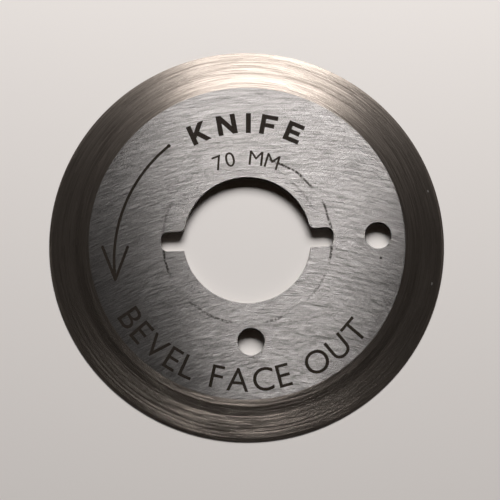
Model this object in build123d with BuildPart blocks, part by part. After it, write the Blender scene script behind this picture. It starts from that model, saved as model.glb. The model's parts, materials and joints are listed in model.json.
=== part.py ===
from build123d import *
import math
import os

# A round knife for a hand-held electric cloth cutter: a thin steel disc with a
# keyed bore, two pin holes and a bevel ground on one side only.  Millimetres.
# The origin is the bore's centre on the flat back.  +Z leaves the marked face,
# and +X runs along the key notches towards the outer pin hole.

# --- Driving dimensions ---------------------------------------------------
blade_diameter = 70.0
blade_thickness = 1.2

# The bevel, from the flat face out to the keen edge on the back's plane.  Its
# bands, inwards to outwards: a narrow shoulder, a steep band, the long main
# band, whose slope is what the others leave of the thickness, and the rim.
bevel_width = 7.12
shoulder_width = 1.18
shoulder_angle = 7.0
steep_width = 1.35
steep_angle = 13.5
rim_width = 0.5
rim_angle = 24.5

# The bore, with a key notch on each side.  One side of each notch's mouth is
# well rounded (towards +Y), and the other is nearly sharp (towards -Y).
bore_diameter = 22.5
notch_depth = 3.95  # beyond the bore's wall
notch_width = 3.4
notch_end_radius = 1.2
round_mouth_radius = 1.0
sharp_mouth_radius = 0.15

pin_hole_diameter = 4.7
outer_pin_distance = 23.1  # from the axis, towards +X
inner_pin_distance = 17.95  # from the axis, towards -Y

# --- Worked out -----------------------------------------------------------
blade_radius = blade_diameter / 2
bore_radius = bore_diameter / 2
face_radius = blade_radius - bevel_width
rim_height = rim_width * math.tan(math.radians(rim_angle))

# --- The blade ------------------------------------------------------------
with BuildPart() as round_blade:
    # The solid disc: its section, from the axis out, turned about the axis.
    with BuildSketch(Plane.XZ):
        with BuildLine():
            face = Line((0, blade_thickness), (face_radius, blade_thickness))
            shoulder = PolarLine(
                face @ 1, shoulder_width, -shoulder_angle, length_mode=LengthMode.HORIZONTAL
            )
            steep = PolarLine(
                shoulder @ 1, steep_width, -steep_angle, length_mode=LengthMode.HORIZONTAL
            )
            main = Line(steep @ 1, (blade_radius - rim_width, rim_height))
            Polyline(main @ 1, (blade_radius, 0), (0, 0), face @ 0)
        make_face()
    revolve(axis=Axis.Z)

    # The bore and its key notches.
    with BuildSketch() as opening:
        Circle(bore_radius)
        Rectangle(2 * (bore_radius + notch_depth), notch_width)
        ends = opening.vertices().filter_by(lambda v: abs(v.X) > bore_radius)
        fillet(ends, notch_end_radius)
        for side, radius in ((1, round_mouth_radius), (-1, sharp_mouth_radius)):
            mouths = opening.vertices().filter_by(
                lambda v: abs(v.X) < bore_radius and v.Y * side > 0
            )
            fillet(mouths, radius)
    extrude(amount=blade_thickness, mode=Mode.SUBTRACT)

    # The holes that the hub's pins go through.
    with Locations((outer_pin_distance, 0), (0, -inner_pin_distance)):
        Hole(pin_hole_diameter / 2)

round_blade.part.label = "round_blade"

# --- Export ---------------------------------------------------------------
os.makedirs("parts", exist_ok=True)
export_step(round_blade.part, "parts/round_blade.step")

main_slope = -math.degrees(math.asin((main % 0).Y))
print(f"main band slopes {main_slope:.1f} degrees; volume {round_blade.part.volume:.1f} mm3")
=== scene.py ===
"""The looks of a round knife for a hand-held rotary cloth cutter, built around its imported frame.

The knife is one disc of ground steel, so it is one watertight mesh: a bevel turned about the axis,
flat faces, a keyed bore and pin holes with broken rims, and marks etched just below the face.
Meshes are shaped in millimetres and turned to metres when they are finished.
"""

import functools
import json
import logging
import math
from dataclasses import dataclass
from enum import Enum
from typing import Any, ClassVar, Optional, Union

import bmesh
import bpy
from mathutils import Euler, Matrix, Vector

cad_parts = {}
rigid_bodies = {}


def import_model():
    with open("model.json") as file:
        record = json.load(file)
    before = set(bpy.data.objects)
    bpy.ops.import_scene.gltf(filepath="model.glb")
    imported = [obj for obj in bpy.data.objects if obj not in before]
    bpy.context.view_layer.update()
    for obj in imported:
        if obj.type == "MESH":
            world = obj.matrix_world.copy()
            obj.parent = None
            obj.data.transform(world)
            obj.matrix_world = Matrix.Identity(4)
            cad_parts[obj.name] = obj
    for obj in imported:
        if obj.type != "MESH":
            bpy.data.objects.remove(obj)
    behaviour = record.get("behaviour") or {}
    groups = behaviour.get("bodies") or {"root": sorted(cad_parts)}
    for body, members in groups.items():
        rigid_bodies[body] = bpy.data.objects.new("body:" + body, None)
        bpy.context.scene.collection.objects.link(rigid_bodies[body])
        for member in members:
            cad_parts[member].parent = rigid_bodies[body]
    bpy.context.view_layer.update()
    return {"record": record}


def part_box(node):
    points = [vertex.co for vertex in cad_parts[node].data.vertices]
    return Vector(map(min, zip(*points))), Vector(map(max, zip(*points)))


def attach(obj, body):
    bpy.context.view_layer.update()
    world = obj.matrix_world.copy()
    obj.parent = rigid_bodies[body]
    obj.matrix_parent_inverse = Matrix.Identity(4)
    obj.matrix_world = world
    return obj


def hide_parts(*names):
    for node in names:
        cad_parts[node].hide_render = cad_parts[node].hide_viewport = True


MM = 0.001
NODE = "round_blade"
BODY = "root"

# How near two points are one, in millimetres.
OUTLINE_WELD = 1e-5
BOOLEAN_WELD = 1e-4
FINAL_WELD = 1e-3

log = logging.getLogger("round_blade")

Colour = tuple[float, float, float, float]
Outline = list[Vector]
Point = tuple[float, float]
Value = Union["Signal", float, tuple]


# --- Shader helpers -------------------------------------------------------


class Signal:
    """A shader socket on which Python's arithmetic builds Math nodes."""

    def __init__(self, nodes: "Nodes", socket: bpy.types.NodeSocket) -> None:
        """Wraps one output socket of the node tree that nodes builds."""
        self.nodes = nodes
        self.socket = socket

    def math(self, operation: str, *values: Value) -> "Signal":
        """Adds a Math node.

        Args:
            operation: the Math node's operation.
            values: its inputs, in order.

        Returns:
            The node's output.
        """
        inputs = dict(enumerate(values))
        return self.nodes.add("ShaderNodeMath", {"operation": operation}, inputs)

    def __add__(self, other: Value) -> "Signal":
        """Returns self + other."""
        return self.math("ADD", self, other)

    def __radd__(self, other: Value) -> "Signal":
        """Returns other + self."""
        return self.math("ADD", other, self)

    def __sub__(self, other: Value) -> "Signal":
        """Returns self - other."""
        return self.math("SUBTRACT", self, other)

    def __rsub__(self, other: Value) -> "Signal":
        """Returns other - self."""
        return self.math("SUBTRACT", other, self)

    def __mul__(self, other: Value) -> "Signal":
        """Returns self * other."""
        return self.math("MULTIPLY", self, other)

    def __rmul__(self, other: Value) -> "Signal":
        """Returns other * self."""
        return self.math("MULTIPLY", other, self)

    def __truediv__(self, other: Value) -> "Signal":
        """Returns self / other."""
        return self.math("DIVIDE", self, other)

    def __abs__(self) -> "Signal":
        """Returns the absolute value."""
        return self.math("ABSOLUTE", self)

    def hypot(self, other: "Signal") -> "Signal":
        """Returns the length of the vector (self, other)."""
        return self.math("SQRT", self * self + other * other)

    def angle_to(self, other: "Signal") -> "Signal":
        """Returns the angle of the vector (self, other) from the first axis, in radians."""
        return self.math("ARCTAN2", other, self)

    def larger(self, other: Value) -> "Signal":
        """Returns the larger of self and other."""
        return self.math("MAXIMUM", self, other)

    def rise(self, low: float, high: float) -> "Signal":
        """Returns a smooth step that is 0 up to low and 1 from high on."""
        inputs = {"Value": self, "From Min": low, "From Max": high}
        return self.nodes.add(
            "ShaderNodeMapRange", {"interpolation_type": "SMOOTHSTEP"}, inputs
        )

    def fall(self, low: float, high: float) -> "Signal":
        """Returns a smooth step that is 1 up to low and 0 from high on."""
        return 1 - self.rise(low, high)


class Nodes:
    """A node tree that is filled from nothing."""

    # The Mix node's sockets for colours, whose names are shared by its other types.
    MIX_FACTOR, MIX_FIRST, MIX_SECOND, MIX_RESULT = 0, 6, 7, 2

    def __init__(self, tree: bpy.types.NodeTree) -> None:
        """Empties the tree."""
        self.tree = tree
        self.tree.nodes.clear()

    def node(
        self,
        kind: str,
        settings: Optional[dict[str, Any]] = None,
        inputs: Optional[dict[Union[int, str], Value]] = None,
    ) -> bpy.types.Node:
        """Adds any node: its settings first, then the values or links of its sockets.

        Args:
            kind: the node's type.
            settings: its properties.
            inputs: socket name or number to a value or a link.

        Returns:
            The node.
        """
        node = self.tree.nodes.new(kind)
        for name, value in (settings or {}).items():
            setattr(node, name, value)
        for name, value in (inputs or {}).items():
            if isinstance(value, Signal):
                self.tree.links.new(value.socket, node.inputs[name])
            else:
                node.inputs[name].default_value = value
        return node

    def add(
        self,
        kind: str,
        settings: Optional[dict[str, Any]] = None,
        inputs: Optional[dict[Union[int, str], Value]] = None,
        output: Union[int, str] = 0,
    ) -> Signal:
        """Adds a node as node() does, and returns the output socket that is named."""
        return Signal(self, self.node(kind, settings, inputs).outputs[output])

    def axes(self, vector: Signal) -> tuple[Signal, ...]:
        """Returns the X, Y and Z parts of a vector."""
        parts = self.node("ShaderNodeSeparateXYZ", inputs={0: vector})
        return tuple(Signal(self, socket) for socket in parts.outputs)

    def mix(self, factor: Value, first: Value, second: Value) -> Signal:
        """Mixes two colours.

        Args:
            factor: 0 for the first, 1 for the second.
            first: a colour.
            second: a colour.

        Returns:
            The mixed colour.
        """
        inputs = {self.MIX_FACTOR: factor, self.MIX_FIRST: first, self.MIX_SECOND: second}
        return self.add("ShaderNodeMix", {"data_type": "RGBA"}, inputs, self.MIX_RESULT)


class FinishNodes(Nodes):
    """The node tree of one finish, with its pattern coordinates in millimetres."""

    def __init__(self, name: str) -> None:
        """Makes an empty material.

        Args:
            name: its name.
        """
        self.material = bpy.data.materials.new(name)
        self.material.use_nodes = True
        super().__init__(self.material.node_tree)
        place = self.add("ShaderNodeTexCoord", output="Object")
        place = self.add(
            "ShaderNodeVectorMath", {"operation": "SCALE"}, {0: place, "Scale": 1 / MM}
        )
        self.x, self.y, self.z = self.axes(place)

    def noise(self, first: Value, second: Value, third: Value, detail: float = 2.0) -> Signal:
        """Adds a noise pattern whose cells are about 1 across.

        Args:
            first: the place along the pattern's first axis, in cells.
            second: the place along its second axis.
            third: the place along its third axis, or a number that picks a slice.
            detail: how many finer layers.

        Returns:
            The noise, about 0.5 on average.
        """
        place = self.add("ShaderNodeCombineXYZ", inputs={0: first, 1: second, 2: third})
        inputs = {"Vector": place, "Scale": 1.0, "Detail": detail}
        return self.add("ShaderNodeTexNoise", inputs=inputs)

    def scratch(self, across: Signal, along: Value, seed: float) -> Signal:
        """Adds scratches, each 1 wide and 1 long, with ends and a slope of its own.

        Args:
            across: the place across the scratches, in scratch widths.
            along: the place along them, in scratch lengths.
            seed: which of many patterns.

        Returns:
            The slope, from -0.5 to 0.5 and most often near 0.
        """
        number = across.math("FLOOR", across)
        start = self.chance(number, seed)
        piece = start.math("FLOOR", start + along)
        slopes = [self.chance(number, piece, seed + layer) for layer in (0.25, 0.75)]
        return (slopes[0] + slopes[1]) * 0.5 - 0.5

    def chance(self, *place: Value) -> Signal:
        """Returns a random number from 0 to 1 that belongs to a place."""
        vector = self.add("ShaderNodeCombineXYZ", inputs=dict(enumerate(place)))
        return self.add("ShaderNodeTexWhiteNoise", inputs={"Vector": vector})

    def tilt(self, across_x: Signal, across_y: Signal, slope: Signal) -> Signal:
        """Tilts the surface across the grinding lines.

        Args:
            across_x: the X part of the level unit vector that crosses the lines.
            across_y: its Y part.
            slope: how steep the surface is that way, as rise over run.

        Returns:
            The new normal.
        """
        parts = {0: across_x * slope, 1: across_y * slope, 2: 0.0}
        lean = self.add("ShaderNodeCombineXYZ", inputs=parts)
        normal = self.add("ShaderNodeNewGeometry", output="Normal")
        summed = self.add("ShaderNodeVectorMath", {"operation": "ADD"}, {0: normal, 1: lean})
        return self.add("ShaderNodeVectorMath", {"operation": "NORMALIZE"}, {0: summed})

    def finish(
        self, colour: Value, roughness: Value, normal: Optional[Signal] = None, **constants: float
    ) -> bpy.types.Material:
        """Ends the tree in one Principled shader.

        Args:
            colour: the base colour.
            roughness: the roughness.
            normal: the surface's normal, or None for the mesh's own.
            constants: other sockets' values, with underscores for spaces.

        Returns:
            The material.
        """
        inputs: dict[Union[int, str], Value] = {"Base Color": colour, "Roughness": roughness}
        if normal is not None:
            inputs["Normal"] = normal
        for name, value in constants.items():
            inputs[name.replace("_", " ")] = value
        shader = self.add("ShaderNodeBsdfPrincipled", inputs=inputs)
        self.node("ShaderNodeOutputMaterial", inputs={"Surface": shader})
        return self.material


# --- Finishes -------------------------------------------------------------


@dataclass(frozen=True)
class Pattern:
    """A noise pattern, with the size of its cells along each axis in millimetres.

    A pattern along two axes takes one slice of the noise, which its seed picks.
    """

    cell: tuple[float, ...]
    seed: float = 0.0
    detail: float = 2.0

    def over(self, nodes: FinishNodes, *place: Signal) -> Signal:
        """Lays the pattern over a surface.

        Args:
            nodes: the finish's node tree.
            place: where the surface is along each of the pattern's axes.

        Returns:
            The noise, about 0.5 on average.
        """
        cells: list[Value] = [axis / size for axis, size in zip(place, self.cell)]
        if len(cells) == 2:
            cells.append(self.seed)
        return nodes.noise(*cells, detail=self.detail)


def blend(parts: tuple[Signal, ...], shares: tuple[float, ...]) -> Signal:
    """Adds patterns up.

    Args:
        parts: the patterns.
        shares: how much of each is taken.

    Returns:
        The sum.
    """
    taken = [part * share for part, share in zip(parts, shares)]
    return functools.reduce(Signal.__add__, taken)


@dataclass(frozen=True)
class Scratches:
    """Straight hairlines, with their width and length in millimetres."""

    width: float
    length: float
    seed: float

    def over(self, nodes: FinishNodes, across: Signal, along: Signal) -> Signal:
        """Returns the slope of the scratch at each place, from -0.5 to 0.5."""
        return nodes.scratch(across / self.width, along / self.length, self.seed)


@dataclass(frozen=True)
class Streak:
    """A short arc about the axis where something has rubbed or nicked the steel.

    Angles are in degrees counterclockwise from +X, and radii in millimetres.
    """

    start: float
    end: float
    strength: float = 1.0
    radius: float = 14.9
    half_width: float = 0.32
    core_share: float = 0.3
    fade: float = 3.0

    def cover(self, radius: Signal, angle: Signal) -> Signal:
        """Finds how strongly the streak covers each place.

        Args:
            radius: the place's distance from the axis.
            angle: the place's angle.

        Returns:
            The strength, from 0 to self.strength.
        """
        begin = angle.rise(self.start - self.fade, self.start + self.fade)
        span = begin * angle.fall(self.end - self.fade, self.end + self.fade)
        off = abs(radius - self.radius)
        return off.fall(self.core_share * self.half_width, self.half_width) * span * self.strength


STREAK_WANDER = Pattern((2.5, 2.5), 6.0)


def cover_all(nodes: FinishNodes, streaks: tuple[Streak, ...], wander: float) -> Signal:
    """Finds how strongly any of the streaks covers each place.

    Args:
        nodes: the finish's node tree.
        streaks: the streaks.
        wander: how far they stray from true arcs.

    Returns:
        The strength, from 0 to 1.
    """
    stray = (STREAK_WANDER.over(nodes, nodes.x, nodes.y) - 0.5) * (2 * wander)
    radius = nodes.x.hypot(nodes.y) + stray
    angle = nodes.x.angle_to(nodes.y) * math.degrees(1.0)
    covers = [streak.cover(radius, angle) for streak in streaks]
    return functools.reduce(Signal.larger, covers)


@dataclass(frozen=True)
class GroundFace:
    """The flat marked face: long shallow arcs of grinding lines, and rubbed marks."""

    dark: Colour = (0.152, 0.144, 0.140, 1.0)
    light: Colour = (0.224, 0.214, 0.209, 1.0)
    worn: Colour = (0.022, 0.019, 0.017, 1.0)
    grind_centre: Point = (3.4, -67.0)
    scratches: Scratches = Scratches(0.001, 3.0, 1.0)
    lines: Scratches = Scratches(0.05, 1.6, 2.0)
    coarse: Pattern = Pattern((0.3, 4.0), 3.0, detail=3.0)
    broad: Pattern = Pattern((2.4, 26.0), 4.0)
    speckle: Pattern = Pattern((0.2, 0.2), 9.0)
    clouds: Pattern = Pattern((9.0, 9.0), 5.0)
    breaks: Pattern = Pattern((0.5, 0.5), 7.0)
    swing: Pattern = Pattern((0.12, 1.2), 8.0)
    grain_shares: tuple[float, ...] = (0.3, 0.25, 0.15, 0.3)
    grain_range: tuple[float, float] = (0.34, 0.66)
    break_range: tuple[float, float] = (0.4, 0.55)
    unbroken_share: float = 0.25
    scratch_slope: float = 1.6
    line_slope: float = 0.3
    line_swing: float = 0.12
    roughness: float = 0.28
    roughness_change: float = 0.04
    worn_roughness: float = 0.2
    washer_marks: tuple[Streak, ...] = (
        Streak(38.0, 74.0),
        Streak(4.0, 25.0, 0.9),
        Streak(-17.0, -6.0, 0.9),
        Streak(-176.0, -156.0, 0.9),
        Streak(-134.0, -102.0, 0.7),
        Streak(-80.0, -68.0, 0.6),
        Streak(-48.0, -26.0, 0.45),
        Streak(152.0, 176.0, 0.5),
        Streak(26.0, 52.0, 0.4, 12.9),
    )
    pit: Streak = Streak(-10.4, -9.4, radius=23.7, half_width=0.3, fade=0.3)
    washer_wander: float = 0.3
    pit_wander: float = 0.1

    def make(self) -> bpy.types.Material:
        """Makes the face's material.

        Returns:
            The material.
        """
        nodes = FinishNodes("ground_face")
        dx = nodes.x - self.grind_centre[0]
        dy = nodes.y - self.grind_centre[1]
        across = dx.hypot(dy)
        along = dy.angle_to(dx) * -self.grind_centre[1]

        scratches = self.scratches.over(nodes, across, along)
        fine = self.lines.over(nodes, across, along) + 0.5
        coarse = self.coarse.over(nodes, across, along)
        speckle = self.speckle.over(nodes, nodes.x, nodes.y)
        broad = self.broad.over(nodes, across, along)
        clouds = self.clouds.over(nodes, nodes.x, nodes.y)
        grain = blend((fine, coarse, broad, speckle), self.grain_shares)
        grain = nodes.mix(grain.rise(*self.grain_range), self.dark, self.light)

        breaks = self.breaks.over(nodes, nodes.x, nodes.y).rise(*self.break_range)
        strength = self.unbroken_share + (1 - self.unbroken_share) * breaks
        worn = cover_all(nodes, self.washer_marks, self.washer_wander) * strength
        worn = worn.larger(cover_all(nodes, (self.pit,), self.pit_wander))
        colour = nodes.mix(worn, grain, self.worn)
        roughness = self.roughness + self.roughness_change * coarse + self.roughness_change * clouds
        roughness = roughness + self.worn_roughness * worn
        slope = scratches * self.scratch_slope + (fine - 0.5) * self.line_slope
        swing = (self.swing.over(nodes, across, along) - 0.5) * self.line_swing
        way_x, way_y = dx / across, dy / across
        normal = nodes.tilt(way_x - way_y * swing, way_y + way_x * swing, slope)
        return nodes.finish(colour, roughness, normal, Metallic=1.0)


@dataclass(frozen=True)
class GroundBevel:
    """The bevel: concentric grinding lines, a smoother steep band near the face, and a warm brown
    tint that is painted reflection.
    """

    # The grey in dark and light is the steel's own; their warm brown tint is painted reflection of a
    # warm brown room.
    dark: Colour = (0.205, 0.176, 0.154, 1.0)
    light: Colour = (0.275, 0.240, 0.212, 1.0)
    nicked: Colour = (0.95, 0.92, 0.88, 1.0)
    scratches: Scratches = Scratches(0.001, 8.0, 11.0)
    lines: Scratches = Scratches(0.07, 4.0, 12.0)
    coarse: Pattern = Pattern((0.25, 12.0, 12.0))
    line_shares: tuple[float, float] = (0.5, 0.5)
    line_range: tuple[float, float] = (0.3, 0.7)
    scratch_slope: float = 1.5
    line_slope: float = 0.6
    roughness: float = 0.30
    roughness_change: float = 0.04
    steep_band: tuple[float, float] = (29.06, 30.4)
    steep_band_share: float = 0.96
    steep_band_fade: float = 0.1
    nicks: tuple[Streak, ...] = (
        Streak(-15.7, -14.9, radius=33.4, half_width=0.16, fade=0.2),
        Streak(13.3, 13.9, radius=33.6, half_width=0.16, fade=0.2),
    )

    def make(self) -> bpy.types.Material:
        """Makes the bevel's material.

        Returns:
            The material.
        """
        nodes = FinishNodes("ground_bevel")
        radius = nodes.x.hypot(nodes.y)
        along = nodes.x.angle_to(nodes.y) * self.steep_band[0]
        scratches = self.scratches.over(nodes, radius, along)
        fine = self.lines.over(nodes, radius, along) + 0.5
        coarse = self.coarse.over(nodes, radius, nodes.x, nodes.y)
        lines = blend((fine, coarse), self.line_shares)
        # The dark and light colours carry a painted warm brown reflection as well as the steel's
        # grey.
        colour = nodes.mix(lines.rise(*self.line_range), self.dark, self.light)
        colour = nodes.mix(cover_all(nodes, self.nicks, 0.0), colour, self.nicked)
        (low, high), fade = self.steep_band, self.steep_band_fade
        steep = radius.rise(low - fade, low + fade) * radius.fall(high - fade, high + fade)
        share = 1 - (1 - self.steep_band_share) * steep
        slope = scratches * self.scratch_slope * share + (lines - 0.5) * self.line_slope
        normal = nodes.tilt(nodes.x / radius, nodes.y / radius, slope)
        roughness = (self.roughness + self.roughness_change * coarse) * share
        return nodes.finish(colour, roughness, normal, Metallic=1.0)


@dataclass(frozen=True)
class EtchedMark:
    """The bottoms of the marks: dark and matt where acid has bitten the steel."""

    deep: Colour = (0.012, 0.009, 0.007, 1.0)
    thin: Colour = (0.038, 0.029, 0.022, 1.0)
    grain: Pattern = Pattern((0.15, 0.1), 21.0, detail=3.0)
    grain_range: tuple[float, float] = (0.35, 0.75)
    roughness: float = 0.7
    roughness_change: float = 0.2
    specular: float = 0.12

    def make(self) -> bpy.types.Material:
        """Makes the marks' material.

        Returns:
            The material.
        """
        nodes = FinishNodes("etched_mark")
        grain = self.grain.over(nodes, nodes.x, nodes.y)
        colour = nodes.mix(grain.rise(*self.grain_range), self.deep, self.thin)
        roughness = self.roughness + self.roughness_change * grain
        return nodes.finish(colour, roughness, Specular_IOR_Level=self.specular)


@dataclass(frozen=True)
class SheetBack:
    """The flat back: one even ground surface, with straight grinding lines."""

    dark: Colour = (0.38, 0.37, 0.36, 1.0)
    light: Colour = (0.60, 0.59, 0.58, 1.0)
    fine: Pattern = Pattern((5.0, 0.07), 31.0)
    coarse: Pattern = Pattern((14.0, 0.5), 32.0)
    line_shares: tuple[float, float] = (0.6, 0.4)
    line_range: tuple[float, float] = (0.3, 0.7)
    line_slope: float = 0.8
    roughness: float = 0.36
    roughness_change: float = 0.08

    def make(self) -> bpy.types.Material:
        """Makes the back's material.

        Returns:
            The material.
        """
        nodes = FinishNodes("ground_back")
        fine = self.fine.over(nodes, nodes.x, nodes.y)
        coarse = self.coarse.over(nodes, nodes.x, nodes.y)
        lines = blend((fine, coarse), self.line_shares)
        colour = nodes.mix(lines.rise(*self.line_range), self.dark, self.light)
        level = nodes.x * 0.0
        normal = nodes.tilt(level, level + 1.0, (fine - 0.5) * self.line_slope)
        roughness = self.roughness + self.roughness_change * coarse
        return nodes.finish(colour, roughness, normal, Metallic=1.0)


@dataclass(frozen=True)
class PunchedWall:
    """The walls of the bore, notches and pin holes: fine drag lines down the cut."""

    dark: Colour = (0.10, 0.09, 0.085, 1.0)
    light: Colour = (0.34, 0.32, 0.30, 1.0)
    drag: Pattern = Pattern((0.12, 0.12, 1.5))
    drag_range: tuple[float, float] = (0.3, 0.7)
    roughness: float = 0.42
    roughness_change: float = 0.15

    def make(self) -> bpy.types.Material:
        """Makes the walls' material.

        Returns:
            The material.
        """
        nodes = FinishNodes("punched_wall")
        drag = self.drag.over(nodes, nodes.x, nodes.y, nodes.z)
        colour = nodes.mix(drag.rise(*self.drag_range), self.dark, self.light)
        roughness = self.roughness + self.roughness_change * drag
        return nodes.finish(colour, roughness, Metallic=1.0)


# --- Outlines and cutters -------------------------------------------------

FINE_STEP = 0.1  # the longest step along the marks' small arcs, in millimetres


def arc(centre: Point, radius: float, start: float, end: float, step: float = 0.2) -> Outline:
    """Divides an arc into even steps.

    Args:
        centre: the arc's centre, in millimetres.
        radius: its radius.
        start: the angle where it starts, in degrees.
        end: the angle where it ends; less than start for a clockwise arc.
        step: the longest step along it, in millimetres.

    Returns:
        The points, both ends included.
    """
    length = abs(math.radians(end - start)) * radius
    count = max(4, math.ceil(length / step))
    middle = Vector((centre[0], centre[1], 0.0))
    angles = [math.radians(start + (end - start) * i / count) for i in range(count + 1)]
    return [middle + radius * Vector((math.cos(a), math.sin(a), 0.0)) for a in angles]


def bar(start: Point, end: Point, width: float) -> Outline:
    """Outlines a straight bar with half-round ends about its two end points.

    Args:
        start: the end point it starts at.
        end: the end point it ends at.
        width: its width.

    Returns:
        The points in order.
    """
    lean = math.degrees(math.atan2(end[1] - start[1], end[0] - start[0]))
    far_end = arc(end, width / 2, lean - 90, lean + 90, step=FINE_STEP)
    return far_end + arc(start, width / 2, lean + 90, lean + 270, step=FINE_STEP)


def sheet(outline: Outline) -> bmesh.types.BMesh:
    """Makes a flat face.

    Args:
        outline: its points, in order and once each.

    Returns:
        The face.
    """
    bm = bmesh.new()
    bm.faces.new([bm.verts.new(point) for point in outline])
    return bm


def prism(outline: Outline, low: float, high: float) -> bmesh.types.BMesh:
    """Returns the solid from low to high that stands on a closed outline."""
    return raise_faces(sheet(outline), low, high)


def raise_faces(bm: bmesh.types.BMesh, low: float, high: float) -> bmesh.types.BMesh:
    """Raises flat faces at height 0 into solids.

    Args:
        bm: the faces, which become the solid.
        low: the height of the solid's foot.
        high: the height of its top.

    Returns:
        The same bmesh.
    """
    bmesh.ops.remove_doubles(bm, verts=bm.verts, dist=OUTLINE_WELD)
    bmesh.ops.translate(bm, verts=bm.verts, vec=(0.0, 0.0, low))
    raised = bmesh.ops.extrude_face_region(bm, geom=bm.faces[:], use_keep_orig=True)
    tops = [item for item in raised["geom"] if isinstance(item, bmesh.types.BMVert)]
    bmesh.ops.translate(bm, verts=tops, vec=(0.0, 0.0, high - low))
    bmesh.ops.recalc_face_normals(bm, faces=bm.faces)
    return bm


def scratch_object(
    bm: bmesh.types.BMesh, name: str, material: Optional[bpy.types.Material]
) -> bpy.types.Object:
    """Turns a bmesh into a mesh object with one material, and frees the bmesh.

    Args:
        bm: the shape.
        name: the object's name.
        material: its material, or None.

    Returns:
        The object, in no collection yet.
    """
    mesh = bpy.data.meshes.new(name)
    bm.to_mesh(mesh)
    bm.free()
    if material is not None:
        mesh.materials.append(material)
    return bpy.data.objects.new(name, mesh)


class Work(Enum):
    """What tools do to a mesh."""

    CUT = "DIFFERENCE"
    JOIN = "UNION"


def worked(
    mesh: bpy.types.Mesh,
    tools: list[bmesh.types.BMesh],
    material: Optional[bpy.types.Material] = None,
    work: Work = Work.CUT,
) -> bpy.types.Mesh:
    """Cuts solids out of a mesh, or joins them to it.

    Args:
        mesh: the mesh to work on.
        tools: closed solids that don't meet one another, which are used up.
        material: the finish of the faces that the tools make.
        work: whether they cut or join.

    Returns:
        A new mesh.
    """
    folder = bpy.data.collections.new("tools")
    bpy.context.scene.collection.children.link(folder)
    for number, tool in enumerate(tools):
        folder.objects.link(scratch_object(tool, f"tool_{number}", material))
    stock = bpy.data.objects.new("stock", mesh)
    bpy.context.scene.collection.objects.link(stock)
    boolean = stock.modifiers.new("cut", "BOOLEAN")
    boolean.operation = work.value
    boolean.solver = "EXACT"
    boolean.operand_type = "COLLECTION"
    boolean.collection = folder
    boolean.material_mode = "TRANSFER"
    ready = stock.evaluated_get(bpy.context.evaluated_depsgraph_get())
    result = settled(bpy.data.meshes.new_from_object(ready))
    for scratch in [stock, *folder.objects]:
        bpy.data.objects.remove(scratch)
    bpy.data.collections.remove(folder)
    return result


def settled(mesh: bpy.types.Mesh) -> bpy.types.Mesh:
    """Puts a mesh's points and faces in an order that depends on their places alone.

    The Boolean modifier works in threads, and may return them in another order each time.

    Args:
        mesh: the mesh, which is used up.

    Returns:
        A new mesh of the same shape.
    """
    places = [vert.co.copy() for vert in mesh.vertices]
    order = sorted(range(len(places)), key=lambda index: tuple(places[index]))
    rank = {old: new for new, old in enumerate(order)}
    faces = []
    for face in mesh.polygons:
        ring = [rank[index] for index in face.vertices]
        first = ring.index(min(ring))
        faces.append((ring[first:] + ring[:first], face.material_index))
    faces.sort()
    result = bpy.data.meshes.new("settled")
    result.from_pydata([places[old] for old in order], [], [ring for ring, _ in faces])
    for face, (_, finish) in zip(result.polygons, faces):
        face.material_index = finish
    for material in mesh.materials:
        result.materials.append(material)
    bpy.data.meshes.remove(mesh)
    return result


def joined(solids: list[bmesh.types.BMesh]) -> bmesh.types.BMesh:
    """Joins overlapping solids into one.

    Args:
        solids: the closed solids, which are used up.

    Returns:
        The one solid.
    """
    mesh = bpy.data.meshes.new("joined")
    solids[0].to_mesh(mesh)
    for solid in solids[1:]:
        mesh = worked(mesh, [solid], work=Work.JOIN)
    bm = solids[0]
    bm.clear()
    bm.from_mesh(mesh)
    bmesh.ops.remove_doubles(bm, verts=bm.verts, dist=BOOLEAN_WELD)
    return bm


# --- The marks ------------------------------------------------------------


class Stance(Enum):
    """Which way letters on a ring stand: the side of them that faces the centre."""

    FEET_IN = 1
    FEET_OUT = -1


# Heavy capitals as outlines, in hundredths of their height, whose strokes are 24 wide.
HEAVY_CAPITALS: dict[str, str] = {
    "E": "0,0 80,0 80,22 24,22 24,39 70,39 70,61 24,61 24,78 80,78 80,100 0,100",
    "F": "0,0 24,0 24,36 68,36 68,58 24,58 24,78 80,78 80,100 0,100",
    "I": "0,0 24,0 24,100 0,100",
    "K": "0,0 24,0 24,28 34,39 64,0 94,0 51,56 92,100 61,100 24,60 24,100 0,100",
    "N": "0,0 24,0 24,60 70,0 94,0 94,100 70,100 70,40 24,100 0,100",
}


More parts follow.
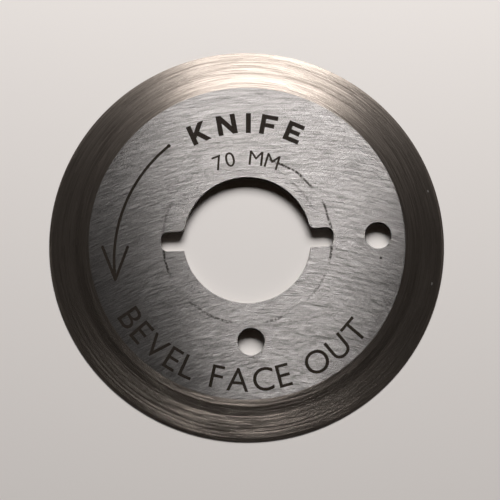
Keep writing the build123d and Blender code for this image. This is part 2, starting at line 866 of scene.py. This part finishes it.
@dataclass(frozen=True)
class RingWord:
    """A word that is set round the bore in plain capitals.

    Lengths are in millimetres and angles in degrees counterclockwise from +X.
    """

    text: str
    foot_radius: float
    height: float
    first_angle: float
    last_angle: float
    stance: Stance
    heavy: bool = False
    space_width: float = 1.6

    CAP_SHARE: ClassVar[float] = 0.729  # the built-in font's capitals, as a share of its size
    CURVE_STEPS: ClassVar[int] = 6

    def cutters(self, low: float, high: float) -> list[bmesh.types.BMesh]:
        """Makes the letters' solids, evenly spaced.

        Args:
            low: the height of their feet.
            high: the height of their tops.

        Returns:
            One solid for each letter.
        """
        letters = [self._letter(character) for character in self.text]
        widths = [width for _, width in letters]
        side = self.stance.value
        sweep = math.radians(self.last_angle - self.first_angle)
        ring = abs(sweep) * (self.foot_radius + side * self.height / 2)
        gap = (ring - sum(widths)) / (len(widths) - 1)
        solids = []
        passed = 0.0
        for shape, width in letters:
            angle = math.radians(self.first_angle) + sweep * (passed + width / 2) / ring
            turn = Matrix.Rotation(angle - side * math.pi / 2, 4, "Z")
            passed += width + gap
            if shape is None:
                continue
            shape.transform(turn @ Matrix.Translation((-width / 2, side * self.foot_radius, 0.0)))
            solids.append(raise_faces(shape, low, high))
        return solids

    def _letter(self, character: str) -> tuple[Optional[bmesh.types.BMesh], float]:
        """Makes a flat letter with its foot on the X axis and its left side on the Y axis.

        Args:
            character: the letter, or a space.

        Returns:
            Its faces, or None for a space, and its width.
        """
        if character == " ":
            return None, self.space_width
        shape = self._heavy_shape(character) if self.heavy else self._font_shape(character)
        places = [vert.co.x for vert in shape.verts]
        bmesh.ops.translate(shape, verts=shape.verts, vec=(-min(places), 0.0, 0.0))
        return shape, max(places) - min(places)

    def _heavy_shape(self, character: str) -> bmesh.types.BMesh:
        """Returns a heavy capital as one flat face."""
        corners = [corner.split(",") for corner in HEAVY_CAPITALS[character].split()]
        return sheet([Vector((float(x), float(y), 0.0)) * self.height / 100 for x, y in corners])

    def _font_shape(self, character: str) -> bmesh.types.BMesh:
        """Makes a capital or digit of the built-in font.

        Args:
            character: which one.

        Returns:
            Its flat faces.
        """
        text = bpy.data.curves.new("letter", "FONT")
        text.body = character
        text.size = self.height / self.CAP_SHARE
        text.resolution_u = self.CURVE_STEPS
        holder = bpy.data.objects.new("letter", text)
        mesh = bpy.data.meshes.new_from_object(holder)
        bm = bmesh.new()
        bm.from_mesh(mesh)
        bpy.data.objects.remove(holder)
        bpy.data.meshes.remove(mesh)
        return bm


@dataclass(frozen=True)
class TurningArrow:
    """The curved arrow that gives the knife's way of turning."""

    centre: Point = (2.94, -3.26)
    radius: float = 26.39
    start_angle: float = 128.5
    tip_angle: float = 186.9
    line_width: float = 0.5
    blob_radius: float = 0.34
    blob_sweep: float = 330.0
    shaft_step: float = 0.4
    outer_barb: Point = (-25.45, -0.59)
    inner_barb: Point = (-21.06, -0.73)

    def cutters(self, low: float, high: float) -> list[bmesh.types.BMesh]:
        """Makes the arrow's solids.

        Args:
            low: the height of their feet.
            high: the height of their tops.

        Returns:
            One solid: the shaft with the blob at its start and the two barbs.
        """
        half = self.line_width / 2
        start, end = self.start_angle, self.tip_angle
        outer = arc(self.centre, self.radius + half, start, end, self.shaft_step)
        inner = arc(self.centre, self.radius - half, end, start, self.shaft_step)
        tip = (outer[-1] + inner[0]) / 2
        blob = (outer[0] + inner[-1]) / 2
        shapes = [outer + inner, arc(blob.xy, self.blob_radius, 0, self.blob_sweep, FINE_STEP)]
        for barb in (self.outer_barb, self.inner_barb):
            shapes.append(bar(tip.xy, barb, self.line_width))
        return [joined([prism(shape, low, high) for shape in shapes])]


# --- The knife ------------------------------------------------------------


class Side(Enum):
    """The blank's finishes, each with the number of its material."""

    FACE = 0
    BEVEL = 1
    BACK = 2


@dataclass
class RoundKnife:
    """The whole knife. Lengths are in millimetres."""

    radius: float
    thickness: float
    bore_radius: float
    pin_holes: list[tuple[Vector, float]]

    bevel_width: float = 7.12
    shoulder_width: float = 1.18
    shoulder_angle: float = 7.0
    steep_width: float = 1.35
    steep_angle: float = 13.5
    rim_width: float = 0.5
    rim_angle: float = 24.5
    groove_radii: tuple[float, ...] = (30.55, 32.65, 33.2)
    groove_inner_side: float = 0.14
    groove_width: float = 0.45
    groove_depth: float = 0.02
    corner_break: float = 0.03

    notch_depth: float = 3.95
    notch_width: float = 3.4
    notch_end_radius: float = 1.2
    round_mouth_radius: float = 1.0
    sharp_mouth_radius: float = 0.15

    WALL_LEAN: ClassVar[float] = 0.5  # the most that a hole's wall may point up or down

    hole_rim_break: float = 0.06
    bevel_margin: float = 0.5
    etch_depth: float = 0.02
    tool_reach: float = 1.0
    turn_steps: int = 360
    sharp_angle: float = 40.0
    marks: tuple[Union[RingWord, TurningArrow], ...] = (
        TurningArrow(),
        RingWord("KNIFE", 19.4, 3.7, 117.0, 61.0, Stance.FEET_IN, heavy=True),
        RingWord("70 MM", 13.5, 2.8, 112.0, 66.0, Stance.FEET_IN),
        RingWord("BEVEL FACE OUT", 26.5, 4.2, -150.5, -39.0, Stance.FEET_OUT),
    )

    def build(self) -> bpy.types.Object:
        """Builds the knife and puts it in the scene.

        Returns:
            The finished object, in metres, at the origin.
        """
        mesh = self._blank()
        mesh = worked(mesh, self._holes(), PunchedWall().make())
        self._break_hole_rims(mesh)
        mesh = worked(mesh, self._mark_cutters(), EtchedMark().make())
        mesh.name = "ground_knife"
        bm = bmesh.new()
        bm.from_mesh(mesh)
        bmesh.ops.remove_doubles(bm, verts=bm.verts, dist=FINAL_WELD)
        strays = [edge for edge in bm.edges if edge.is_wire]
        bmesh.ops.delete(bm, geom=strays, context="EDGES")
        bmesh.ops.scale(bm, verts=bm.verts, vec=(MM, MM, MM))
        bm.to_mesh(mesh)
        bm.free()
        mesh.shade_smooth()
        mesh.set_sharp_from_angle(angle=math.radians(self.sharp_angle))
        knife = bpy.data.objects.new("ground_knife", mesh)
        bpy.context.scene.collection.objects.link(knife)
        knife.modifiers.new("flat faces stay flat", "WEIGHTED_NORMAL").keep_sharp = True
        return knife

    def _section(self) -> list[Point]:
        """Works out the bevel's section.

        Returns:
            Its corners as (radius, height), from just inside the bevel to the keen edge.
        """
        face = (self.radius - self.bevel_width, self.thickness)
        inside = (face[0] - 2 * self.corner_break, self.thickness)
        shoulder = self._down(face, self.shoulder_width, self.shoulder_angle)
        steep = self._down(shoulder, self.steep_width, self.steep_angle)
        rim_height = self.rim_width * math.tan(math.radians(self.rim_angle))
        rim = (self.radius - self.rim_width, rim_height)
        points = [inside, face, shoulder, steep]
        slope = (rim[1] - steep[1]) / (rim[0] - steep[0])
        sides = ((0.0, 0.0), (self.groove_inner_side, self.groove_depth), (self.groove_width, 0.0))
        for groove in self.groove_radii:
            for side, depth in sides:
                radius = groove + side
                points.append((radius, steep[1] + slope * (radius - steep[0]) - depth))
        return [*points, rim, (self.radius, 0.0)]

    @staticmethod
    def _down(start: Point, width: float, angle: float) -> Point:
        """Returns where a band ends that starts at start and falls at angle degrees."""
        return start[0] + width, start[1] - width * math.tan(math.radians(angle))

    def _blank(self) -> bpy.types.Mesh:
        """Turns the bevel's section about the axis and closes it with the flat faces.

        Returns:
            The solid disc, with the finishes of its face, bevel and back.
        """
        bm = bmesh.new()
        points = [bm.verts.new((radius, 0.0, height)) for radius, height in self._section()]
        for first, second in zip(points, points[1:]):
            bm.edges.new((first, second))
        bmesh.ops.bevel(
            bm,
            geom=points[1:-1],
            offset=self.corner_break,
            segments=2,
            profile=0.5,
            affect="VERTICES",
            material=-1,
        )
        bmesh.ops.spin(
            bm,
            geom=bm.verts[:] + bm.edges[:],
            cent=(0, 0, 0),
            axis=(0, 0, 1),
            angle=2 * math.pi,
            steps=self.turn_steps,
            use_merge=True,
        )
        for face in bm.faces:
            inner = min(vert.co.xy.length for vert in face.verts)
            side = Side.FACE if inner < self.radius - self.bevel_width else Side.BEVEL
            face.material_index = side.value
        for height, side in ((self.thickness, Side.FACE), (0.0, Side.BACK)):
            rim = [
                edge
                for edge in bm.edges
                if edge.is_boundary and abs(edge.verts[0].co.z - height) < BOOLEAN_WELD
            ]
            for face in bmesh.ops.edgeloop_fill(bm, edges=rim)["faces"]:
                face.material_index = side.value
        bmesh.ops.recalc_face_normals(bm, faces=bm.faces)
        mesh = bpy.data.meshes.new("blank")
        bm.to_mesh(mesh)
        bm.free()
        finishes = {Side.FACE: GroundFace(), Side.BEVEL: GroundBevel(), Side.BACK: SheetBack()}
        for side in Side:
            mesh.materials.append(finishes[side].make())
        return mesh

    def _opening(self) -> Outline:
        """Outlines the bore with its key notches.

        Returns:
            The points, counterclockwise.
        """
        half = self.notch_width / 2
        corner_x = self.bore_radius + self.notch_depth - self.notch_end_radius
        corner_y = half - self.notch_end_radius
        sharp, lower = self._mouth(self.sharp_mouth_radius)
        rounded, upper = self._mouth(self.round_mouth_radius)
        right = [
            *arc((0.0, 0.0), self.bore_radius, -90.0, -lower),
            *arc((sharp[0], -sharp[1]), self.sharp_mouth_radius, 180.0 - lower, 90.0)[1:],
            *arc((corner_x, -corner_y), self.notch_end_radius, -90.0, 0.0),
            *arc((corner_x, corner_y), self.notch_end_radius, 0.0, 90.0),
            *arc(rounded, self.round_mouth_radius, -90.0, upper - 180.0)[:-1],
            *arc((0.0, 0.0), self.bore_radius, upper, 90.0),
        ]
        left = [Vector((-point.x, point.y, 0.0)) for point in reversed(right[1:-1])]
        return right + left

    def _mouth(self, radius: float) -> tuple[Point, float]:
        """Finds the rounding between the bore's wall and a notch's upper side.

        Args:
            radius: the rounding's radius.

        Returns:
            Its centre, and the angle where it meets the bore, in degrees.
        """
        rise = self.notch_width / 2 + radius
        run = math.sqrt((self.bore_radius + radius) ** 2 - rise**2)
        return (run, rise), math.degrees(math.atan2(rise, run))

    def _holes(self) -> list[bmesh.types.BMesh]:
        """Makes the tools that cut the holes.

        Returns:
            One solid for the bore with its notches, and one for each pin hole.
        """
        low, high = -self.tool_reach, self.thickness + self.tool_reach
        holes = [prism(self._opening(), low, high)]
        for centre, radius in self.pin_holes:
            outline = arc((centre.x, centre.y), radius, 0.0, 360.0)[:-1]
            holes.append(prism(outline, low, high))
        return holes

    def _break_hole_rims(self, mesh: bpy.types.Mesh) -> None:
        """Takes the sharpness off the rims of the bore, notches and pin holes.

        Args:
            mesh: the disc with its holes, which is changed.
        """
        bm = bmesh.new()
        bm.from_mesh(mesh)
        bmesh.ops.remove_doubles(bm, verts=bm.verts, dist=BOOLEAN_WELD)
        face_radius = self.radius - self.bevel_width - self.bevel_margin
        rims = [
            edge
            for edge in bm.edges
            if edge.verts[0].co.xy.length < face_radius
            and sum(abs(face.normal.z) < self.WALL_LEAN for face in edge.link_faces) == 1
        ]
        bmesh.ops.bevel(
            bm,
            geom=rims,
            offset=self.hole_rim_break,
            segments=3,
            profile=0.5,
            affect="EDGES",
            material=-1,
        )
        bm.to_mesh(mesh)
        bm.free()

    def _mark_cutters(self) -> list[bmesh.types.BMesh]:
        """Returns the solids that etch the marks into the face."""
        low, high = self.thickness - self.etch_depth, self.thickness + self.tool_reach
        return [solid for mark in self.marks for solid in mark.cutters(low, high)]


# --- The studio -----------------------------------------------------------


@dataclass(frozen=True)
class Softbox:
    """A rectangular area light that faces the knife."""

    name: str
    azimuth: float  # degrees counterclockwise from +X
    elevation: float  # degrees above the floor
    distance: float  # metres
    width: float  # metres, level
    height: float  # metres
    power: float  # watts
    colour: tuple[float, float, float] = (1.0, 1.0, 1.0)

    def place(self) -> None:
        """Puts the light in the scene."""
        light = bpy.data.lights.new(self.name, "AREA")
        light.shape = "RECTANGLE"
        light.size = self.width
        light.size_y = self.height
        light.energy = self.power
        light.color = self.colour
        lamp = bpy.data.objects.new(self.name, light)
        around, up = math.radians(self.azimuth), math.radians(self.elevation)
        way = Vector((math.cos(around) * math.cos(up), math.sin(around) * math.cos(up), math.sin(up)))
        lamp.location = way * self.distance
        lamp.rotation_euler = way.to_track_quat("Z", "Y").to_euler()
        bpy.context.scene.collection.objects.link(lamp)


@dataclass(frozen=True)
class Studio:
    """A pale floor, soft light from behind the knife, and the camera above it."""

    floor_side: float = 3.0
    floor_drop: float = 0.0001
    floor_colour: Colour = (0.80, 0.765, 0.745, 1.0)
    floor_roughness: float = 0.9
    floor_specular: float = 0.2
    overhead: Colour = (0.006, 0.0035, 0.0015, 1.0)
    horizon: Colour = (0.20, 0.192, 0.185, 1.0)
    horizon_height: tuple[float, float] = (0.05, 0.28)  # sines of the angle above the floor
    camera_place: tuple[float, float, float] = (-3.22, -28.38, 157.01)  # millimetres
    camera_turn: tuple[float, float, float] = (9.67, -0.99, -1.97)  # degrees
    lens: float = 64.78  # millimetres
    nearest: float = 0.005  # metres
    softboxes: tuple[Softbox, ...] = (
        Softbox("window_light", 83.7, 30.0, 0.52, 0.34, 0.18, 4.65, (1.0, 0.985, 0.97)),
    )

    def build(self) -> None:
        """Puts the floor, the lights and the camera in the scene."""
        self._lay_floor()
        self._set_surround()
        for softbox in self.softboxes:
            softbox.place()
        self._set_camera()

    def _lay_floor(self) -> None:
        """Lays the floor just under the knife's back."""
        bm = bmesh.new()
        bmesh.ops.create_grid(bm, x_segments=1, y_segments=1, size=self.floor_side / 2)
        bmesh.ops.translate(bm, verts=bm.verts, vec=(0.0, 0.0, -self.floor_drop))
        nodes = FinishNodes("pale_floor")
        material = nodes.finish(
            self.floor_colour, self.floor_roughness, Specular_IOR_Level=self.floor_specular
        )
        floor = scratch_object(bm, "floor", material)
        bpy.context.scene.collection.objects.link(floor)

    def _set_surround(self) -> None:
        """Gives the room its dim light, a little brighter low down."""
        world = bpy.data.worlds.new("room")
        world.use_nodes = True
        nodes = Nodes(world.node_tree)
        height = nodes.axes(nodes.add("ShaderNodeTexCoord", output="Generated"))[2]
        colour = nodes.mix(height.fall(*self.horizon_height), self.overhead, self.horizon)
        light = nodes.add("ShaderNodeBackground", inputs={"Color": colour})
        nodes.node("ShaderNodeOutputWorld", inputs={"Surface": light})
        bpy.context.scene.world = world

    def _set_camera(self) -> None:
        """Stands the camera over the knife and makes it the scene's own."""
        lens = bpy.data.cameras.new("camera")
        lens.lens = self.lens
        lens.clip_start = self.nearest
        camera = bpy.data.objects.new("camera", lens)
        camera.location = Vector(self.camera_place) * MM
        camera.rotation_euler = Euler([math.radians(angle) for angle in self.camera_turn])
        bpy.context.scene.collection.objects.link(camera)
        bpy.context.scene.camera = camera
        bpy.context.scene.view_settings.view_transform = "Standard"


def knife_sizes(record: dict[str, Any]) -> RoundKnife:
    """Reads the knife's driving sizes from the frame.

    Args:
        record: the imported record, whose mounts give the holes.

    Returns:
        The knife, not built yet.
    """
    low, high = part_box(NODE)
    bores = [mount for mount in record["mounts"] if mount["kind"] == "bore"]
    holes = [(Vector(mount["pos_m"]) / MM, mount["dims"]["r_mm"]) for mount in bores]
    holes.sort(key=lambda hole: hole[0].length)
    return RoundKnife(
        radius=min(-low[0], -low[1], high[0], high[1]) / MM,
        thickness=(high[2] - low[2]) / MM,
        bore_radius=holes[0][1],
        pin_holes=holes[1:],
    )


def main() -> None:
    """Loads the frame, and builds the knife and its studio."""
    logging.basicConfig(level=logging.INFO, format="%(name)s: %(message)s")
    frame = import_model()
    knife = knife_sizes(frame["record"]).build()
    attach(knife, BODY)
    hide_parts(NODE)
    log.info("%s has %d faces", knife.name, len(knife.data.polygons))
    Studio().build()
    log.info("studio is set")


if __name__ == "__main__":
    main()
